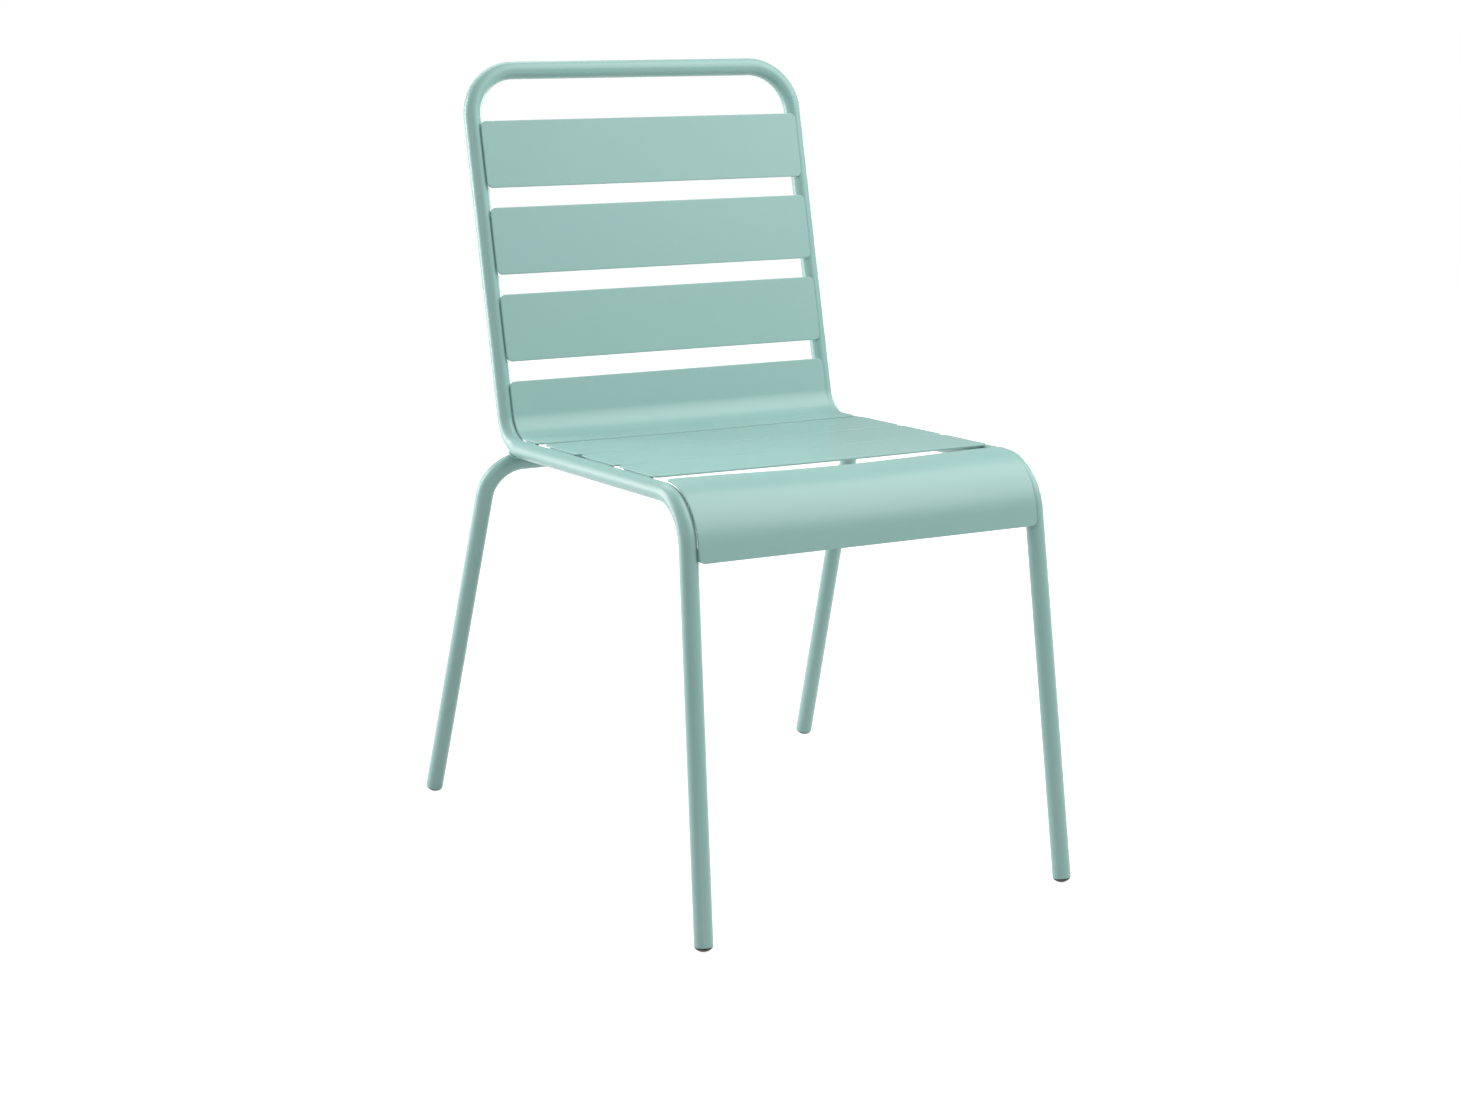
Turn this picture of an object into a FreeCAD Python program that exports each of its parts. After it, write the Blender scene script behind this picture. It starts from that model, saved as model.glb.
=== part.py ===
import FreeCAD, Part
import math
import os
import Sketcher
from FreeCAD import Placement, Rotation, Vector

# Stacking chair of round steel tube and welded sheet slats, all powder coated.
# Millimetres.  The chair faces -Y, +X is the sitter's left, +Z is up.  The origin is on the
# floor, under the middle of the chair.

doc = FreeCAD.newDocument("stacking_chair")


# ---------------------------------------------------------------- driving dimensions
SIZES = (
    ("tube_diameter", 20.0, "outside diameter of every tube"),
    ("tube_wall", 1.5, "wall of every tube"),
    ("rail_half", 210.0, "seat rail and upright axis from the centre plane"),
    ("knee_height", 453.0, "corner of rail and front leg above the floor"),
    ("leg_rake", 8.91, "front leg from upright, degrees, foot forward"),
    ("seat_fall", 2.74, "rail down to the rear, degrees"),
    ("back_lean", 14.82, "back leaning to the rear, degrees"),
    ("front_splay", 13.0, "front leg outward from knee to floor"),
    ("knee_bend", 55.0, "bend radius of the axis at the front of the seat"),
    ("hip_bend", 42.0, "bend radius of the axis at the back of the seat"),
    ("crown_bend", 55.0, "bend radius of the axis at the top corners"),
    ("shoulder_overhang", 30.0, "corner of rear leg and cross run, outward of the rail"),
    ("rear_splay", 17.0, "rear leg outward from shoulder to floor"),
    ("rear_foot_reach", 116.0, "rear leg axis at the floor, behind the back of the rail"),
    ("cross_advance", 13.0, "cross run of the rear legs, forward of the back of the rail"),
    ("shoulder_bend", 42.0, "bend radius of the rear leg tube"),
    ("crossing_gap", 0.6, "rear leg tube below the rail, filled by weld"),
    ("origin_advance", 0.5, "origin forward of halfway between front and rear feet"),
    ("sheet_thickness", 2.0, "thickness of every slat"),
    ("sheet_inset", 4.0, "slat end inboard of the tube axis"),
    ("sheet_gap", 0.2, "slat above the tube, filled by weld"),
    ("lip_run", 17.0, "front edge sheet, straight below its bend"),
    ("front_run", 2.64, "front edge sheet, straight behind its bend"),
    ("front_gap", 21.0, "gap behind the front edge sheet"),
    ("seat_slat_width", 85.5, "seat slat, edge to edge"),
    ("seat_gap", 3.0, "gap between seat slats"),
    ("rear_gap", 10.0, "gap in front of the lumbar sheet"),
    ("lumbar_seat_run", 39.0, "lumbar sheet, straight in front of its bend"),
    ("lumbar_back_run", 37.7, "lumbar sheet, straight above its bend"),
    ("back_slat_width", 76.0, "back slat, edge to edge"),
    ("back_gap", 22.5, "open gap between back slats"),
    ("crown_margin", 4.0, "upper slat below the bends of the top corners"),
    ("slat_corner", 7.0, "corner radius of every slat"),
    ("weld_radius", 2.6, "radius of a slat weld bead"),
    ("weld_inset", 6.6, "slat weld bead inboard of the tube axis"),
    ("weld_depth", 1.5, "slat weld bead below the slat's underside"),
    ("weld_margin", 12.0, "slat weld bead short of the slat's edge"),
    ("short_weld_margin", 6.0, "the same above the bend of the lumbar sheet"),
    ("lip_weld_margin", 1.65, "the same on the lip of the front edge sheet"),
    ("saddle_weld_radius", 7.0, "weld between the rear leg tube and a rail"),
    ("plug_clearance", 0.1, "foot plug stem inside the tube bore, on radius"),
    ("plug_stem_length", 22.0, "foot plug stem inside the tube"),
    ("plug_rim_inset", 0.6, "foot plug rim inside the tube's outside, on radius"),
    ("plug_rim_height", 1.0, "foot plug rim below the tube end"),
    ("plug_dome_height", 4.2, "foot plug dome below its rim"),
    ("plug_sprue_radius", 1.5, "flat sprue spot in the middle of the dome"),
    ("plug_flat_depth", 0.5, "dome worn flat where it meets the floor"),
)

sheet = doc.addObject("Spreadsheet::Sheet", "sizes")
for row, (alias, value, meaning) in enumerate(SIZES, start=1):
    sheet.set("A%d" % row, meaning)
    sheet.set("B%d" % row, str(value))
    sheet.setAlias("B%d" % row, alias)
doc.recompute()


def size(alias):
    return float(sheet.get(alias))


def bind(obj, prop, expression):
    obj.setExpression(prop, expression)


# ---------------------------------------------------------------- lines of the side view
# A side view point is (setback, height): Y and Z.  Directions are unit vectors in that plane.
def side(setback, height):
    return Vector(0.0, setback, height)


radius = size("tube_diameter") / 2
leg_rake = math.radians(size("leg_rake"))
seat_fall = math.radians(size("seat_fall"))
back_lean = math.radians(size("back_lean"))
leg_up = side(math.sin(leg_rake), math.cos(leg_rake))
rail_back = side(math.cos(seat_fall), -math.sin(seat_fall))
upright_up = side(math.sin(back_lean), math.cos(back_lean))

# Outward normals: up from the seat, forward from the back and from the front legs.
across = Vector(1, 0, 0)
leg_normal = across.cross(leg_up)
rail_normal = across.cross(rail_back)
upright_normal = across.cross(upright_up)

# How far each bend starts from its corner.
KNEE_TURN = "90 - sizes.leg_rake + sizes.seat_fall"
HIP_TURN = "90 - sizes.back_lean + sizes.seat_fall"
knee_turn = leg_up.getAngle(rail_back)
hip_turn = rail_back.getAngle(upright_up)
knee_tangent = size("knee_bend") * math.tan(knee_turn / 2)
hip_tangent = size("hip_bend") * math.tan(hip_turn / 2)

# The rails are as long as what lies on them: the front edge sheet, the seat slats and the
# lumbar sheet.  Distances along a rail are from the knee corner.
SEAT_SLATS = ("seat_slat_front", "seat_slat_middle", "seat_slat_rear")
seat_slat_starts = []
place = knee_tangent + size("front_run") + size("front_gap")
for name in SEAT_SLATS:
    seat_slat_starts.append(place)
    place += size("seat_slat_width") + size("seat_gap")
lumbar_front = place - size("seat_gap") + size("rear_gap")
rail_length = lumbar_front + size("lumbar_seat_run") + hip_tangent

# The uprights carry the lumbar sheet's back and the back slats.  Distances along an upright
# are from the hip corner.
BACK_SLATS = ("back_slat_lower", "back_slat_middle", "back_slat_upper")
back_slat_starts = []
lumbar_top = hip_tangent + size("lumbar_back_run")
place = lumbar_top
for name in BACK_SLATS:
    place += size("back_gap")
    back_slat_starts.append(place)
    place += size("back_slat_width")
upright_length = place + size("crown_margin") + size("crown_bend")

foot_advance = size("knee_height") * math.tan(leg_rake)
foot_spread = foot_advance + rail_length * rail_back.y + size("rear_foot_reach")
front_foot = side(size("origin_advance") - foot_spread / 2, 0.0)
knee = front_foot + leg_up * (size("knee_height") / leg_up.z)
hip = knee + rail_back * rail_length
crown = hip + upright_up * upright_length
rear_foot = side(hip.y + size("rear_foot_reach"), 0.0)
cross_setback = hip.y - size("cross_advance")


# The rails turn up into the uprights about this point.
hip_inward = (upright_up - rail_back).normalize()
hip_centre = hip + hip_inward * (size("hip_bend") / math.cos(hip_turn / 2))


def under_rail_height():
    """Height at which the rear legs' cross run just passes under the bent rails."""
    reach = size("hip_bend") + size("tube_diameter") + size("crossing_gap")
    offset = cross_setback - hip_centre.y
    return hip_centre.z - math.sqrt(reach ** 2 - offset ** 2)


def bend_drop(distance, bend):
    """How far a bend falls below its straight run, at a distance past its start."""
    if distance <= 0:
        return 0.0
    return bend - math.sqrt(bend ** 2 - distance ** 2)


# The cross run is already bending towards the legs where it passes under the rails, so its
# straight middle lies that much higher.
under_rail = under_rail_height()
leg_fall = Vector(size("rear_splay"), rear_foot.y - cross_setback, -under_rail)
leg_slope = side(leg_fall.y, leg_fall.z).normalize()
shoulder_tangent = size("shoulder_bend") * math.tan(across.getAngle(leg_fall) / 2)
bent_down = bend_drop(shoulder_tangent - size("shoulder_overhang"), size("shoulder_bend"))
cross_run = side(cross_setback, under_rail - leg_slope.z * bent_down)
crossing = cross_run + leg_slope * bent_down
shoulder_half = size("rail_half") + size("shoulder_overhang")
rear_foot_half = shoulder_half + size("rear_splay")


# ---------------------------------------------------------------- foot plug geometry
plug_rim_radius = radius - size("plug_rim_inset")
dome_height = size("plug_dome_height")
dome_radius = (plug_rim_radius ** 2 + dome_height ** 2) / (2 * dome_height)
dome_centre_up = dome_radius - dome_height - size("plug_rim_height")


def tube_end(floor_point, next_corner):
    """End of a leg's axis: its foot plug's dome just reaches below the floor."""
    along = (next_corner - floor_point).normalize()
    centre_height = dome_radius - size("plug_flat_depth")
    end_height = centre_height - dome_centre_up * along.z
    return floor_point + along * (end_height / along.z)


# ---------------------------------------------------------------- tubes
def rounded_path(points, bends):
    """A wire through the points, with each inner corner rounded by its own bend radius."""
    edges = []
    start = points[0]
    for before, corner, after, bend in zip(points, points[1:], points[2:], bends):
        incoming = (corner - before).normalize()
        outgoing = (after - corner).normalize()
        turn = incoming.getAngle(outgoing)
        tangent = bend * math.tan(turn / 2)
        arc_start = corner - incoming * tangent
        arc_end = corner + outgoing * tangent
        inward = (outgoing - incoming).normalize()
        middle = corner + inward * (bend / math.cos(turn / 2) - bend)
        edges.append(Part.LineSegment(start, arc_start).toShape())
        edges.append(Part.Arc(arc_start, middle, arc_end).toShape())
        start = arc_end
    edges.append(Part.LineSegment(start, points[-1]).toShape())
    return Part.Wire(edges)


def swept_round(name, path, diameter_expression):
    """A round bar swept along the path: a tube's outside, or its bore."""
    start = path.Shape.Edges[0].firstVertex().Point
    direction = path.Shape.Edges[0].tangentAt(path.Shape.Edges[0].FirstParameter)
    circle = doc.addObject("Part::Circle", name + "_section")
    bind(circle, "Radius", diameter_expression)
    circle.Placement = Placement(start, Rotation(Vector(0, 0, 1), direction))
    sweep = doc.addObject("Part::Sweep", name)
    sweep.Sections = [circle]
    sweep.Spine = (path, ["Edge%d" % (k + 1) for k in range(len(path.Shape.Edges))])
    sweep.Solid = True
    sweep.Frenet = False
    doc.recompute()
    return sweep


def bent_tube(name, points, bends):
    """A bent tube with its bore; returns the tube and its plain outside."""
    path = doc.addObject("Part::Feature", name + "_path")
    path.Shape = rounded_path(points, bends)
    outside = swept_round(name + "_outside", path, "sizes.tube_diameter / 2")
    bore = swept_round(name + "_bore", path, "sizes.tube_diameter / 2 - sizes.tube_wall")
    tube = doc.addObject("Part::Cut", name)
    tube.Base = outside
    tube.Tool = bore
    tube.Label = name
    doc.recompute()
    return tube, outside


def at(half, point):
    """A side view point on the sitter's right, that far from the centre plane."""
    return Vector(-half, point.y, point.z)


def other_side(point):
    return Vector(-point.x, point.y, point.z)


front_floor = at(size("rail_half") + size("front_splay"), front_foot)
knee_corner = at(size("rail_half"), knee)
hip_corner = at(size("rail_half"), hip)
crown_corner = at(size("rail_half"), crown)
front_end = tube_end(front_floor, knee_corner)

main_half = [front_end, knee_corner, hip_corner, crown_corner]
main_half_bends = [size("knee_bend"), size("hip_bend"), size("crown_bend")]
main_tube, main_outside = bent_tube(
    "main_frame_tube", main_half + [other_side(p) for p in reversed(main_half)],
    main_half_bends + main_half_bends[::-1])

rear_floor = at(rear_foot_half, rear_foot)
shoulder_corner = at(shoulder_half, cross_run)
rear_end = tube_end(rear_floor, shoulder_corner)

rear_half = [rear_end, shoulder_corner]
rear_tube, rear_outside = bent_tube(
    "rear_leg_tube", rear_half + [other_side(p) for p in reversed(rear_half)],
    [size("shoulder_bend")] * 2)


# ---------------------------------------------------------------- sketches
def origin_plane(body, role):
    return next(f for f in body.Origin.OriginFeatures if f.Role == role)


def new_sketch(body, name, role):
    sketch = body.newObject("Sketcher::SketchObject", name)
    sketch.AttachmentSupport = [(origin_plane(body, role), "")]
    sketch.MapMode = "FlatFace"
    return sketch


def dimension(sketch, name, kind, *where_and_value, expression):
    index = sketch.addConstraint(Sketcher.Constraint(kind, *where_and_value))
    sketch.renameConstraint(index, name)
    sketch.setExpression("Constraints." + name, expression)


def rectangle(sketch, low, high):
    """A rectangle standing on the sketch's X axis, as far to the left as to the right."""
    corners = [(low[0], low[1]), (high[0], low[1]), (high[0], high[1]), (low[0], high[1])]
    for k, corner in enumerate(corners):
        following = corners[(k + 1) % 4]
        line = Part.LineSegment(Vector(*corner, 0), Vector(*following, 0))
        sketch.addGeometry(line, False)
    for k in range(4):
        sketch.addConstraint(Sketcher.Constraint("Coincident", k, 2, (k + 1) % 4, 1))
    sketch.addConstraint(Sketcher.Constraint("Vertical", 1))
    sketch.addConstraint(Sketcher.Constraint("Horizontal", 2))
    sketch.addConstraint(Sketcher.Constraint("Vertical", 3))
    sketch.addConstraint(Sketcher.Constraint("PointOnObject", 0, 1, -1))
    sketch.addConstraint(Sketcher.Constraint("Symmetric", 0, 1, 0, 2, -2))


SHEET_LENGTH = "2 * (sizes.rail_half - sizes.sheet_inset)"
LENGTH_MATCH = 0.01
sheet_half = size("rail_half") - size("sheet_inset")


def round_corners(body, feature):
    """Rounds the slat's four corners: the short edges that are as long as the sheet is thick."""
    doc.recompute()
    thickness = size("sheet_thickness")
    names = []
    for k, edge in enumerate(feature.Shape.Edges, start=1):
        is_straight = isinstance(edge.Curve, Part.Line)
        if is_straight and abs(edge.Length - thickness) < LENGTH_MATCH:
            names.append("Edge%d" % k)
    fillet = body.newObject("PartDesign::Fillet", body.Name + "_corners")
    fillet.Base = (feature, names)
    bind(fillet, "Radius", "sizes.slat_corner")
    doc.recompute()
    body.Tip = fillet


def stand_on(body, base, along):
    """Places a body: its Y along the tube, its Z outward from it."""
    angle = math.degrees(math.atan2(along.z, along.y))
    body.Placement = Placement(base, Rotation(Vector(1, 0, 0), angle))


def flat_slat(name, width_alias, base, along):
    """A flat slat whose lower edge is at base, on the tubes' tangent plane."""
    body = doc.addObject("PartDesign::Body", name)
    body.Label = name
    outline = new_sketch(body, name + "_outline", "XY_Plane")
    rectangle(outline, (-sheet_half, 0), (sheet_half, size(width_alias)))
    dimension(outline, "length", "DistanceX", 0, 1, 0, 2, 2 * sheet_half, expression=SHEET_LENGTH)
    dimension(outline, "width", "DistanceY", 1, 1, 1, 2, size(width_alias),
              expression="sizes." + width_alias)
    pad = body.newObject("PartDesign::Pad", name + "_blank")
    pad.Profile = outline
    bind(pad, "Length", "sizes.sheet_thickness")
    round_corners(body, pad)
    stand_on(body, base, along)
    return body


def bent_track(sketch, first_run, bend, turn, last_run):
    """Line, arc, line: each is (value, expression).  A bend to the right has a negative turn."""
    way = 1 if turn[0] > 0 else -1
    angle = abs(turn[0])
    line_end = Vector(first_run[0], 0, 0)
    centre = line_end + Vector(0, way * bend[0], 0)

    def on_arc(gone):
        return centre + Vector(math.sin(gone), -way * math.cos(gone), 0) * bend[0]

    last_end = on_arc(angle) + Vector(math.cos(angle), way * math.sin(angle), 0) * last_run[0]
    sketch.addGeometry(Part.LineSegment(Vector(0, 0, 0), line_end), False)
    sketch.addGeometry(Part.Arc(line_end, on_arc(angle / 2), on_arc(angle)), False)
    sketch.addGeometry(Part.LineSegment(on_arc(angle), last_end), False)
    arc_start, arc_end = (1, 2) if way > 0 else (2, 1)
    sketch.addConstraint(Sketcher.Constraint("Coincident", 0, 1, -1, 1))
    sketch.addConstraint(Sketcher.Constraint("Horizontal", 0))
    sketch.addConstraint(Sketcher.Constraint("Tangent", 0, 2, 1, arc_start))
    sketch.addConstraint(Sketcher.Constraint("Tangent", 1, arc_end, 2, 1))
    dimension(sketch, "first_run", "Distance", 0, first_run[0], expression=first_run[1])
    dimension(sketch, "bend", "Radius", 1, bend[0], expression=bend[1])
    dimension(sketch, "last_run", "Distance", 2, last_run[0], expression=last_run[1])
    dimension(sketch, "turn", "Angle", 2, turn[0], expression=turn[1])


def bent_sheet(name, base, along, first_run, bend, turn, last_run):
    """A sheet bent once: a straight run, a bend and a second run, swept as one strip."""
    body = doc.addObject("PartDesign::Body", name)
    body.Label = name
    track = new_sketch(body, name + "_track", "YZ_Plane")
    bent_track(track, first_run, bend, turn, last_run)
    section = new_sketch(body, name + "_section", "XZ_Plane")
    rectangle(section, (-sheet_half, 0), (sheet_half, size("sheet_thickness")))
    dimension(section, "length", "DistanceX", 0, 1, 0, 2, 2 * sheet_half, expression=SHEET_LENGTH)
    dimension(section, "thickness", "DistanceY", 1, 1, 1, 2, size("sheet_thickness"),
              expression="sizes.sheet_thickness")
    strip = body.newObject("PartDesign::AdditivePipe", name + "_strip")
    strip.Profile = section
    strip.Spine = (track, ["Edge1", "Edge2", "Edge3"])
    round_corners(body, strip)
    stand_on(body, base, along)
    return body


# ---------------------------------------------------------------- slats
tangent_offset = radius + size("sheet_gap")


def on_rail(distance):
    """Where a slat's underside starts, that far behind the knee corner."""
    return knee + rail_back * distance + rail_normal * tangent_offset


def on_upright(distance):
    """Where a slat's underside starts, that far above the hip corner."""
    return hip + upright_up * distance + upright_normal * tangent_offset


slats = {}
back_spots = []
seat_spots = []
for name, start in zip(BACK_SLATS, back_slat_starts):
    base = on_upright(start)
    slats[name] = flat_slat(name, "back_slat_width", base, upright_up)
    back_spots.append((name, base))
for name, start in zip(SEAT_SLATS, seat_slat_starts):
    base = on_rail(start)
    slats[name] = flat_slat(name, "seat_slat_width", base, rail_back)
    seat_spots.append((name, base))

# The lumbar sheet runs back along the rails and turns up into the back.
slats["lumbar_sheet"] = bent_sheet(
    "lumbar_sheet", on_rail(lumbar_front), rail_back,
    first_run=(size("lumbar_seat_run"), "sizes.lumbar_seat_run"),
    bend=(size("hip_bend") - tangent_offset,
          "sizes.hip_bend - sizes.tube_diameter / 2 - sizes.sheet_gap"),
    turn=(hip_turn, HIP_TURN),
    last_run=(size("lumbar_back_run"), "sizes.lumbar_back_run"))

# The front edge sheet starts at its lower lip and turns back over the knees.
lip = knee - leg_up * (knee_tangent + size("lip_run")) + leg_normal * tangent_offset
slats["front_edge_sheet"] = bent_sheet(
    "front_edge_sheet", lip, leg_up,
    first_run=(size("lip_run"), "sizes.lip_run"),
    bend=(size("knee_bend") + tangent_offset,
          "sizes.knee_bend + sizes.tube_diameter / 2 + sizes.sheet_gap"),
    turn=(-knee_turn, "-(%s)" % KNEE_TURN),
    last_run=(size("front_run"), "sizes.front_run"))


# ---------------------------------------------------------------- welds
def weld_rods(name, start, along, outward, length_expression):
    """A pair of round beads under a slat's ends, beside the tubes."""
    rods = []
    for hand, tag in ((-1, "right"), (1, "left")):
        rod = doc.addObject("Part::Cylinder", "%s_%s" % (name, tag))
        bind(rod, "Radius", "sizes.weld_radius")
        bind(rod, "Height", length_expression)
        beside = Vector(hand * (size("rail_half") - size("weld_inset")), 0, 0)
        sunk = start - outward * size("weld_depth") + beside
        rod.Placement = Placement(sunk, Rotation(Vector(0, 0, 1), along))
        rods.append(rod)
    return rods


def trimmed_welds(name, rods, tools):
    """Beads cut back to the surfaces they join."""
    blank = doc.addObject("Part::Compound", name + "_blank")
    blank.Links = rods
    keep_out = doc.addObject("Part::Compound", name + "_joined")
    keep_out.Links = tools
    welds = doc.addObject("Part::Cut", name)
    welds.Base = blank
    welds.Tool = keep_out
    welds.Label = name
    doc.recompute()
    return welds


def slat_welds(name, spots, along, outward, width_alias):
    """The beads under a row of flat slats, one node for the row."""
    rods = []
    for slat_name, base in spots:
        rods += weld_rods(
            slat_name + "_bead", base + along * size("weld_margin"), along, outward,
            "sizes.%s - 2 * sizes.weld_margin" % width_alias)
    return trimmed_welds(name, rods, [main_outside] + [slats[n] for n, base in spots])


lumbar_rods = weld_rods(
    "lumbar_seat_bead", on_rail(lumbar_front + size("weld_margin")), rail_back, rail_normal,
    "sizes.lumbar_seat_run - sizes.weld_margin")
lumbar_rods += weld_rods(
    "lumbar_back_bead", on_upright(hip_tangent + size("short_weld_margin")), upright_up,
    upright_normal, "sizes.lumbar_back_run - 2 * sizes.short_weld_margin")
lip_rods = weld_rods(
    "lip_bead", lip + leg_up * size("lip_weld_margin"), leg_up, leg_normal,
    "sizes.lip_run - 2 * sizes.lip_weld_margin")
welds = [
    slat_welds("back_slat_welds", back_spots, upright_up, upright_normal, "back_slat_width"),
    slat_welds("seat_slat_welds", seat_spots, rail_back, rail_normal, "seat_slat_width"),
    trimmed_welds("lumbar_sheet_welds", lumbar_rods, [main_outside, slats["lumbar_sheet"]]),
    trimmed_welds(
        "front_edge_sheet_welds", lip_rods, [main_outside, slats["front_edge_sheet"]]),
]

# A saddle weld sits all round the spot where each rail rests on the rear leg tube.
saddle_right = at(size("rail_half"), crossing + (hip_centre - crossing).normalize() * radius)
saddles = []
for place, tag in ((saddle_right, "right"), (other_side(saddle_right), "left")):
    saddle = doc.addObject("Part::Sphere", "saddle_" + tag)
    bind(saddle, "Radius", "sizes.saddle_weld_radius")
    saddle.Placement.Base = place
    saddles.append(saddle)
welds.append(trimmed_welds("rear_leg_welds", saddles, [main_outside, rear_outside]))


# ---------------------------------------------------------------- foot plugs
under_floor = doc.addObject("Part::Box", "under_floor")
floor_half_width = rear_foot_half + size("tube_diameter")
floor_half_depth = foot_spread / 2 + size("tube_diameter")
under_floor.Length = 2 * floor_half_width
under_floor.Width = 2 * floor_half_depth
bind(under_floor, "Height", "sizes.tube_diameter")
under_floor.Placement.Base = Vector(
    -floor_half_width, -floor_half_depth, -size("tube_diameter"))

RIM_RADIUS = "(sizes.tube_diameter / 2 - sizes.plug_rim_inset)"
DOME_RADIUS = "(%s * %s + sizes.plug_dome_height * sizes.plug_dome_height) / (2 * %s)" % (
    RIM_RADIUS, RIM_RADIUS, "sizes.plug_dome_height")


def plug_outline(sketch):
    """Half of the plug's section: a stem, a rim, a dome and a small flat at its tip."""
    stem_radius = radius - size("tube_wall") - size("plug_clearance")
    stem_top = size("plug_stem_length")
    sprue = size("plug_sprue_radius")

    def on_dome(out):
        return Vector(out, dome_centre_up - math.sqrt(dome_radius ** 2 - out ** 2), 0)

    dome_start = Vector(plug_rim_radius, -size("plug_rim_height"), 0)
    dome_end = on_dome(sprue)
    sprue_centre = Vector(0, dome_end.y, 0)
    corners = [sprue_centre, Vector(0, stem_top, 0), Vector(stem_radius, stem_top, 0),
               Vector(stem_radius, 0, 0), Vector(plug_rim_radius, 0, 0), dome_start]
    for start, finish in zip(corners, corners[1:]):
        sketch.addGeometry(Part.LineSegment(start, finish), False)
    dome_middle = on_dome((plug_rim_radius + sprue) / 2)
    sketch.addGeometry(Part.Arc(dome_start, dome_middle, dome_end), False)
    sketch.addGeometry(Part.LineSegment(dome_end, sprue_centre), False)

    # Lines 0 to 4 go up the middle, out, down the stem, out and down the rim.  Arc 5 is the
    # dome, whose start is its lower end, and line 6 the sprue.
    for line in range(4):
        sketch.addConstraint(Sketcher.Constraint("Coincident", line, 2, line + 1, 1))
    sketch.addConstraint(Sketcher.Constraint("Coincident", 4, 2, 5, 2))
    sketch.addConstraint(Sketcher.Constraint("Coincident", 5, 1, 6, 1))
    sketch.addConstraint(Sketcher.Constraint("Coincident", 6, 2, 0, 1))
    sketch.addConstraint(Sketcher.Constraint("PointOnObject", 0, 1, -2))
    sketch.addConstraint(Sketcher.Constraint("Vertical", 0))
    sketch.addConstraint(Sketcher.Constraint("Horizontal", 1))
    sketch.addConstraint(Sketcher.Constraint("Vertical", 2))
    sketch.addConstraint(Sketcher.Constraint("Horizontal", 3))
    sketch.addConstraint(Sketcher.Constraint("Vertical", 4))
    sketch.addConstraint(Sketcher.Constraint("Horizontal", 6))
    sketch.addConstraint(Sketcher.Constraint("PointOnObject", 3, 1, -1))
    sketch.addConstraint(Sketcher.Constraint("PointOnObject", 5, 3, -2))
    dimension(sketch, "stem_radius", "Distance", 1, stem_radius,
              expression="sizes.tube_diameter / 2 - sizes.tube_wall - sizes.plug_clearance")
    dimension(sketch, "stem_length", "Distance", 2, stem_top,
              expression="sizes.plug_stem_length")
    dimension(sketch, "rim_ledge", "Distance", 3, plug_rim_radius - stem_radius,
              expression="sizes.tube_wall + sizes.plug_clearance - sizes.plug_rim_inset")
    dimension(sketch, "rim_height", "Distance", 4, size("plug_rim_height"),
              expression="sizes.plug_rim_height")
    dimension(sketch, "dome_radius", "Radius", 5, dome_radius, expression=DOME_RADIUS)
    dimension(sketch, "sprue", "Distance", 6, sprue, expression="sizes.plug_sprue_radius")


def foot_plug(name, end, corner):
    """A plastic plug: a stem in the bore, a rim on the tube's end and a domed foot."""
    body = doc.addObject("PartDesign::Body", name + "_body")
    sketch = new_sketch(body, name + "_outline", "XZ_Plane")
    plug_outline(sketch)
    turned = body.newObject("PartDesign::Revolution", name + "_turned")
    turned.Profile = sketch
    turned.ReferenceAxis = (sketch, ["V_Axis"])
    turned.Angle = 360.0
    doc.recompute()
    body.Placement = Placement(end, Rotation(Vector(0, 0, 1), corner - end))
    plug = doc.addObject("Part::Cut", name)
    plug.Base = body
    plug.Tool = under_floor
    plug.Label = name
    return plug


plugs = [
    foot_plug("foot_plug_front_right", front_end, knee_corner),
    foot_plug("foot_plug_front_left", other_side(front_end), other_side(knee_corner)),
    foot_plug("foot_plug_rear_right", rear_end, shoulder_corner),
    foot_plug("foot_plug_rear_left", other_side(rear_end), other_side(shoulder_corner)),
]
doc.recompute()


# ---------------------------------------------------------------- check and write
nodes = [main_tube, rear_tube] + list(slats.values()) + welds + plugs

for obj in doc.Objects:
    bad = [state for state in obj.State if state in ("Invalid", "Error")]
    if bad:
        raise RuntimeError("%s did not build: %s" % (obj.Name, bad))
for node in nodes:
    if node.Shape.isNull() or not node.Shape.isValid():
        raise RuntimeError("%s has no valid shape" % node.Label)

os.makedirs("parts", exist_ok=True)
for node in nodes:
    node.Shape.exportStep("parts/%s.step" % node.Label)
    box = node.Shape.BoundBox
    print("%-26s %d solid(s) %9.1f mm3  z %.1f to %.1f" % (
        node.Label, len(node.Shape.Solids), node.Shape.Volume, box.ZMin, box.ZMax))
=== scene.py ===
import math

import bmesh
import bpy
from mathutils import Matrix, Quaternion, Vector


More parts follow.
